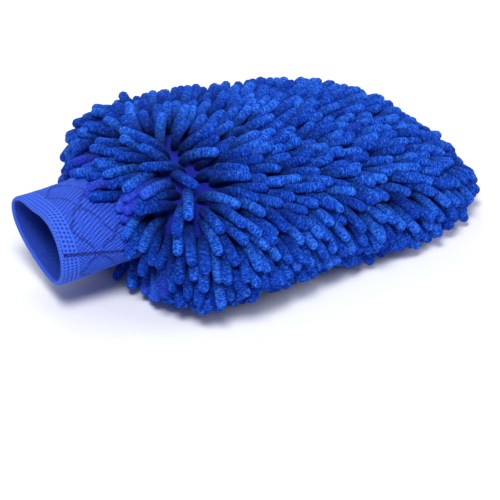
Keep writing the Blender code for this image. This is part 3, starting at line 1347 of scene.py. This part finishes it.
@dataclass
class Pocket:
    """The pocket's woven layers and the seams that join them."""

    shape: PocketShape
    workshop: Workshop
    backing_thickness: float = 0.8 * MM
    lining_thickness: float = 0.5 * MM
    lining_drop_crown: float = 1.6 * MM
    lining_drop_seam: float = 4.9 * MM
    crease: float = 0.5 * MM
    cells: tuple[int, int] = (72, 80)
    girth_share: float = 2.35
    stitch_radius: float = 0.32 * MM
    stitch_sides: int = 6
    stitch_pitch: float = 3.2 * MM
    first_stitch: float = 0.05
    seam_depth: float = 2.3 * MM
    seam_swing: float = 0.45 * MM
    lining_seam_depth: float = 6.5 * MM
    lining_seam_swing: float = 0.25 * MM

    def build(self) -> None:
        """Make the cloth and the seams of both panels."""
        backing = WovenFinish("woven_backing", "#0A20A4", "#081884", pitch=0.9 * MM).material()
        lining = WovenFinish(
            "woven_lining", "#12267E", "#0E1D66", pitch=0.6 * MM, roughness=0.6
        ).material()
        for half in Half:
            self.panel(half, "backing", backing, Slot.BACKING, self.backing_thickness)
            self.panel(half, "lining", lining, Slot.LINING, self.lining_thickness)
        thread = ThreadFinish("polyester_thread", "#2A3BD8", "#141F8C").material()
        for node, depth, swing in (
            ("perimeter_seam", self.seam_depth, self.seam_swing),
            ("lining_seam", self.lining_seam_depth, self.lining_seam_swing),
        ):
            path = self.edge_path(depth, swing)
            seam = self.workshop.tube(
                f"{node}_stitches", path, self.stitch_radius, self.stitch_sides, False
            )
            self.workshop.finish(seam, thread, Slot.THREAD, [node])

    def drop(self, name: str, u: np.ndarray, angle: np.ndarray) -> np.ndarray:
        """Find how far a layer lies below the backing's outer face.

        Args:
            name: The layer, backing or lining.
            u: Share of the length.
            angle: Place round the section.

        Returns:
            The depths.
        """
        if name == "backing":
            return np.zeros_like(u)
        into_end = np.maximum(0.0, (u - 1 + self.shape.end_share) / self.shape.end_share)
        crown = np.sin(angle) * np.sqrt(np.maximum(0.0, 1 - into_end**2))
        # Waves that cross, the first of them bent, make the short creases of slack cloth.
        creases = np.sin(95 * u + 3 * np.sin(4 * angle)) * np.sin(7 * angle + 9 * u)
        slack = self.crease * creases * crown
        fall = self.lining_drop_seam - self.lining_drop_crown
        return self.lining_drop_seam - fall * crown + np.abs(slack)

    def panel(
        self, half: Half, name: str, material: bpy.types.Material, slot: Slot, wall: float
    ) -> None:
        """Args:
            half: The panel.
            name: The layer, backing or lining.
            material: Its material.
            slot: The record's slot for it, passed to the workshop.
            wall: Its thickness.
        """

        def place(across: np.ndarray, along: np.ndarray) -> np.ndarray:
            """Find a point of the layer's outer face, in cells that are short at both ends."""
            u, angle = (1 - np.cos(math.pi * along)) / 2, math.pi * across
            return self.shape.layer(u, angle, -self.drop(name, u, angle), half)

        across = self.girth_share * self.shape.half_width
        along = self.shape.length
        node = f"{half.label}_{name}"
        piece = self.workshop.cloth(
            f"{node}_cloth", self.cells, place, (across, along), thickness=wall
        )
        self.workshop.finish(piece, material, slot, [node])

    def edge_path(self, depth: float, swing: float) -> np.ndarray:
        """Follow the pocket's edge from the mouth round the finger end and back.

        Args:
            depth: How far inside the edge the stitches lie.
            swing: Half the width of their zigzag.

        Returns:
            The points of the stitches.
        """
        end = self.shape.surface(np.array(1.0), np.array(0.0))[1]
        sewn = 1 - self.first_stitch
        sides = round(self.shape.length * sewn / self.stitch_pitch)
        round_end = round(2 * end / self.stitch_pitch)
        out = self.first_stitch + sewn * np.arange(sides) / sides
        across = np.arccos(1 - 2 * np.arange(round_end + 1) / round_end)
        u = np.concatenate((out, np.ones(round_end + 1), out[::-1]))
        angle = np.concatenate((np.zeros(sides), across, np.full(sides, math.pi)))
        sway = np.where(np.arange(len(u)) % 2, swing, -swing)
        heading = self.shape.outward(u, angle) * (1 - UP)
        path = self.shape.surface(u, angle) + (sway - depth)[:, None] * unit(heading)
        path[:, 2] = self.shape.middle(u) + sway / 2
        return path


# The cuff


@dataclass
class Cuff:
    """The knitted elastic cuff: two faces, a rolled rim, rubber threads and seams.

    Shares of the way round count from the side seam, and shares along count from 0 at
    the sewn end to 1 at the rim. Depths count inwards from the tube's outer face.
    """

    shape: CuffShape
    workshop: Workshop
    face_wall: float = 0.7 * MM
    face_depth: float = 0.4 * MM
    face_end: float = 0.985
    face_cells: tuple[int, int] = (432, 114)
    back_cells: tuple[int, int] = (120, 200)
    rim_cells: tuple[int, int] = (480, 12)
    round_length: float = 190 * MM
    dot_pitch: float = 2.4 * MM
    grain_pitch: float = 2.4 * MM
    border: float = 9.0 * MM
    border_fade: float = 0.8 * MM
    lozenge: tuple[float, float] = (31.7 * MM, 24 * MM)
    jag: float = 0.035
    groove_width: float = 0.75 * MM
    relief: float = 0.55 * MM
    rib_pitch: float = 1.5 * MM
    rib_height: float = 0.35 * MM
    seam_width: float = 1.0 * MM
    seam_depth: float = 1.1 * MM
    pucker_pitch: float = 5.5 * MM
    pucker_height: float = 0.35 * MM
    pucker_place: float = 2.5 * MM
    pucker_width: float = 1.8 * MM
    rim_radius: float = 1.25 * MM
    rim_place: float = 0.99
    rim_turns: int = 110
    rubber_radius: float = 0.28 * MM
    rubber_points: int = 96
    rubber_sides: int = 8
    side_stitches: int = 30
    side_span: tuple[float, float] = (0.06, 0.95)
    side_swing: float = 0.0022
    side_depth: float = 0.95 * MM
    side_radius: float = 0.26 * MM
    mouth_stitches: int = 90
    mouth_place: float = 0.035
    mouth_swing: float = 0.014
    mouth_depth: float = -0.75 * MM
    mouth_radius: float = 0.3 * MM
    thread_sides: int = 6

    def stitches(self, around: np.ndarray, along: np.ndarray) -> np.ndarray:
        """Find the height of the outer face's stitches.

        Args:
            around: Share of the way round.
            along: Share of the way to the rim.

        Returns:
            The height, 0 in the grooves to 1 on the crests.
        """
        x = around * self.round_length
        y = along * self.shape.run
        from_rim = self.shape.run - y
        dots = (0.5 + 0.5 * np.cos(TURN * x / self.dot_pitch)) * (
            0.5 + 0.5 * np.cos(TURN * from_rim / self.dot_pitch)
        )
        grain = np.cos(TURN * x / self.grain_pitch) * np.cos(TURN * y / self.grain_pitch)
        # Each stitch gets a number of its own, whose sines look like chance.
        half_pitch = self.grain_pitch / 2
        stitch = np.rint(x / half_pitch) * 12.9 + np.rint(y / half_pitch) * 78.2
        uneven = np.sin(stitch) * np.cos(1.7 * stitch)
        # The grooves cross in lozenges, and step sideways at every other stitch.
        width, height = self.lozenge
        jag = self.jag * np.sign(np.sin(TURN * y / (4 * self.grain_pitch)))
        slant = np.abs((x / width + y / height + jag) % 1 - 0.5)
        other = np.abs((x / width - y / height + jag) % 1 - 0.5)
        off_line = np.minimum(slant, other) * width
        groove = np.exp(-((off_line / self.groove_width) ** 2) / 2)
        body = 0.54 + 0.42 * grain + 0.2 * uneven - 0.42 * groove
        # The border along the rim is flat and has a pit at each dot.
        border = 0.85 - 0.85 * dots + 0.15 * uneven
        inside = np.clip((self.border - from_rim) / self.border_fade + 0.5, 0, 1)
        height_at = inside * border + (1 - inside) * body
        return np.clip(height_at, 0, 1) * (1 - 0.95 * self.seam_groove(around))

    def from_seam(self, around: np.ndarray) -> np.ndarray:
        """Find how far a place is from the side seam, round the cuff."""
        return np.minimum(around, 1 - around) * self.round_length

    def seam_groove(self, around: np.ndarray) -> np.ndarray:
        """Find how deep in the side seam's groove a place round the cuff is, 0 to 1."""
        return np.exp(-((self.from_seam(around) / self.seam_width) ** 2))

    def pucker(self, around: np.ndarray, along: np.ndarray) -> np.ndarray:
        """Find how far the cloth puffs up beside the side seam, between its stitches.

        Args:
            around: Share of the way round.
            along: Share of the way to the rim.

        Returns:
            The heights.
        """
        off = (self.from_seam(around) - self.pucker_place) / self.pucker_width
        wave = np.sin(TURN * along * self.shape.run / self.pucker_pitch)
        return self.pucker_height * np.exp(-(off**2)) * wave

    def ribs(self, _around: np.ndarray, along: np.ndarray) -> np.ndarray:
        """Find the height of the ribs that run round the inner face."""
        return 0.5 + 0.5 * np.cos(TURN * along * self.shape.run / self.rib_pitch)

    def twist(self, around: np.ndarray, over: np.ndarray) -> np.ndarray:
        """Find the height of the rolled rim's slanting stitches."""
        return 0.5 + 0.5 * np.sin(TURN * (around * self.rim_turns + over))

    def on_face(self, around: np.ndarray, along: np.ndarray) -> np.ndarray:
        """Find points of the outer face, with its stitches and its side seam.

        Args:
            around: Share of the way round.
            along: Share of the way to the rim.

        Returns:
            The points.
        """
        lift = self.relief * self.stitches(around, along) + self.pucker(around, along)
        sink = self.seam_depth * self.seam_groove(around)
        return self.shape.place(around, along * self.face_end, self.face_depth - lift + sink)

    def on_back(self, around: np.ndarray, along: np.ndarray) -> np.ndarray:
        """Find points of the inner face's side towards the rubber threads.

        Args:
            around: Share of the way round.
            along: Share of the way to the rim.

        Returns:
            The points.
        """
        rib = self.rib_height * self.ribs(around, along)
        depth = self.shape.wall - self.face_wall - self.rib_height + rib
        return self.shape.place(around, along * self.face_end, depth)

    def on_rim(self, around: np.ndarray, over: np.ndarray) -> np.ndarray:
        """Find points of the rolled rim's skin.

        Args:
            around: Share of the way round.
            over: Share of the way round the roll.

        Returns:
            The points.
        """
        turn = TURN * over
        # The slanting stitches raise the skin by 8% of the radius.
        radius = self.rim_radius * (0.96 + 0.08 * self.twist(around, over))
        share = self.rim_place + radius * np.sin(turn) / self.shape.run
        return self.shape.place(around, share, self.shape.wall / 2 + radius * np.cos(turn))

    def build(self) -> None:
        """Make the cuff's pieces."""
        # Each knit finish paints a highlight on its stitches' crests and shade in their grooves.
        outer = KnitFinish("elastic_knit_face", "#021672", "#1440B6", "#3A6CF0").material()
        inner = KnitFinish("elastic_knit_back", "#04125C", "#0F2A92", "#1E46B8").material()
        edge = KnitFinish("elastic_knit_selvedge", "#2348C0", "#3058D4", "#4070EC").material()
        for name, node, cells, place, raised, material in (
            ("outer_knit", "face_knit", self.face_cells, self.on_face, self.stitches, outer),
            ("inner_rib", "back_knit", self.back_cells, self.on_back, self.ribs, inner),
        ):
            piece = self.workshop.cloth(
                f"cuff_{name}",
                cells,
                place,
                (self.round_length, self.shape.run),
                raised=raised,
                closed=(True, False),
                thickness=self.face_wall,
            )
            self.workshop.finish(piece, material, Slot.CUFF_KNIT, [f"cuff_{node}"])
        piece = self.workshop.cloth(
            "cuff_rolled_rim",
            self.rim_cells,
            self.on_rim,
            (self.round_length, TURN * self.rim_radius),
            raised=self.twist,
            closed=(True, True),
        )
        self.workshop.finish(piece, edge, Slot.CUFF_KNIT, ["cuff_rim"])
        self.rubber()
        self.seams()

    def rubber(self) -> None:
        """Make the covered rubber threads between the two faces."""
        cover = ThreadFinish("covered_rubber", "#22389C", "#152566", twist=1.4 * MM).material()
        around = np.linspace(0, 1, self.rubber_points, endpoint=False)
        threads = (node for node in frame["nodes"] if node.startswith("elastic_thread"))
        for node in sorted(threads):
            low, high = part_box(node)
            share = np.full_like(around, (self.shape.sewn_x - (low.x + high.x) / 2))
            path = self.shape.place(around, share / self.shape.run, self.shape.wall / 2)
            piece = self.workshop.tube(
                f"{node}_cover", path, self.rubber_radius, self.rubber_sides, True
            )
            self.workshop.finish(piece, cover, Slot.ELASTIC, [node])

    def seams(self) -> None:
        """Make the zigzag stitches of the side seam and of the seam at the mouth."""
        thread = ThreadFinish("cuff_thread", "#1E34B8", "#08125C").material()
        share = np.linspace(*self.side_span, self.side_stitches)
        sway = np.where(np.arange(self.side_stitches) % 2, self.side_swing, -self.side_swing)
        side = self.shape.place(sway, share, self.side_depth)
        around = np.linspace(0, 1, self.mouth_stitches, endpoint=False)
        sway = np.where(np.arange(self.mouth_stitches) % 2, self.mouth_swing, -self.mouth_swing)
        mouth = self.shape.place(around, self.mouth_place + sway, self.mouth_depth)
        for name, node, path, radius, closed in (
            ("side_seam_stitches", "side_seam", side, self.side_radius, False),
            ("joining_stitches", "joining_seam", mouth, self.mouth_radius, True),
        ):
            piece = self.workshop.tube(f"cuff_{name}", path, radius, self.thread_sides, closed)
            self.workshop.finish(piece, thread, Slot.THREAD, [f"cuff_{node}"])


# The studio


@dataclass
class Studio:
    """A pale floor, soft light and the camera.

    Each lamp has its name, place, size and power. The lens is in millimetres.
    """

    azimuth: float = -31.5
    elevation: float = 33.6
    distance: float = 1.03
    lens: float = 124.0
    aim: tuple[float, float, float] = (-0.0135, -0.0303, 0.005)
    floor_reach: float = 4.0
    sky: float = 0.26
    lamps: tuple[tuple[str, tuple[float, float, float], float, float], ...] = (
        ("key", (-0.45, -0.55, 1.3), 0.5, 18.0),
        ("fill", (0.9, -0.8, 0.8), 0.8, 7.0),
        ("back", (0.2, 1.0, 1.0), 0.7, 7.0),
    )

    def build(self) -> None:
        """Make the stage."""
        self.floor()
        self.lights()
        self.camera()

    def floor(self) -> None:
        """Make a wide flat floor of pale matt paper."""
        mesh = bmesh.new()
        bmesh.ops.create_grid(mesh, x_segments=8, y_segments=8, size=self.floor_reach)
        data = bpy.data.meshes.new("studio_floor")
        mesh.to_mesh(data)
        mesh.free()
        floor = bpy.data.objects.new("studio_floor", data)
        bpy.context.scene.collection.objects.link(floor)
        paper, tree = start_material("studio_paper")
        shader = tree.nodes["Principled BSDF"]
        shader.inputs["Base Color"].default_value = linear("#F4F5F7")
        shader.inputs["Roughness"].default_value = 0.9
        data.materials.append(paper)

    def lights(self) -> None:
        """Light the mitt softly from above, with a broad key and a weak fill."""
        world = bpy.data.worlds.new("studio")
        world.use_nodes = True
        sky = world.node_tree.nodes["Background"]
        sky.inputs["Color"].default_value = linear("#F2F5FF")
        sky.inputs["Strength"].default_value = self.sky
        bpy.context.scene.world = world
        for name, place, size, power in self.lamps:
            lamp = bpy.data.lights.new(name, "AREA")
            lamp.shape = "SQUARE"
            lamp.size = size
            lamp.energy = power
            holder = bpy.data.objects.new(name, lamp)
            holder.location = place
            aim = Vector(self.aim) - Vector(place)
            holder.rotation_euler = aim.to_track_quat("-Z", "Y").to_euler()
            bpy.context.scene.collection.objects.link(holder)

    def camera(self) -> None:
        """Stand the camera at the mitt's front left, looking down on it."""
        lens = bpy.data.cameras.new("camera")
        lens.lens = self.lens
        holder = bpy.data.objects.new("camera", lens)
        turn, rise = math.radians(self.azimuth), math.radians(self.elevation)
        flat = math.cos(rise)
        back = Vector((math.sin(turn) * flat, -math.cos(turn) * flat, math.sin(rise)))
        holder.location = Vector(self.aim) + back * self.distance
        holder.rotation_euler = (-back).to_track_quat("-Z", "Y").to_euler()
        bpy.context.scene.collection.objects.link(holder)
        bpy.context.scene.camera = holder
        bpy.context.scene.view_settings.view_transform = "Standard"


def main() -> None:
    """Build the studio, then the mitt's pieces in order."""
    pocket_shape = PocketShape.of_frame()
    cuff_shape = CuffShape.of_frame()
    seam = Vector((pocket_shape.mouth_x, 0.0, pocket_shape.mouth_z))
    into_pocket, into_cuff = Vector((10 * MM, 0, 0)), Vector((20 * MM, 0, 0))
    workshop = Workshop(bend_start=seam + into_pocket, bend_end=seam - into_cuff)
    Studio().build()
    Pocket(pocket_shape, workshop).build()
    Cuff(cuff_shape, workshop).build()
    Pile(pocket_shape, workshop).build()
    log.info("wash mitt: %d pieces", len(workshop.made))


if __name__ == "__main__":
    main()
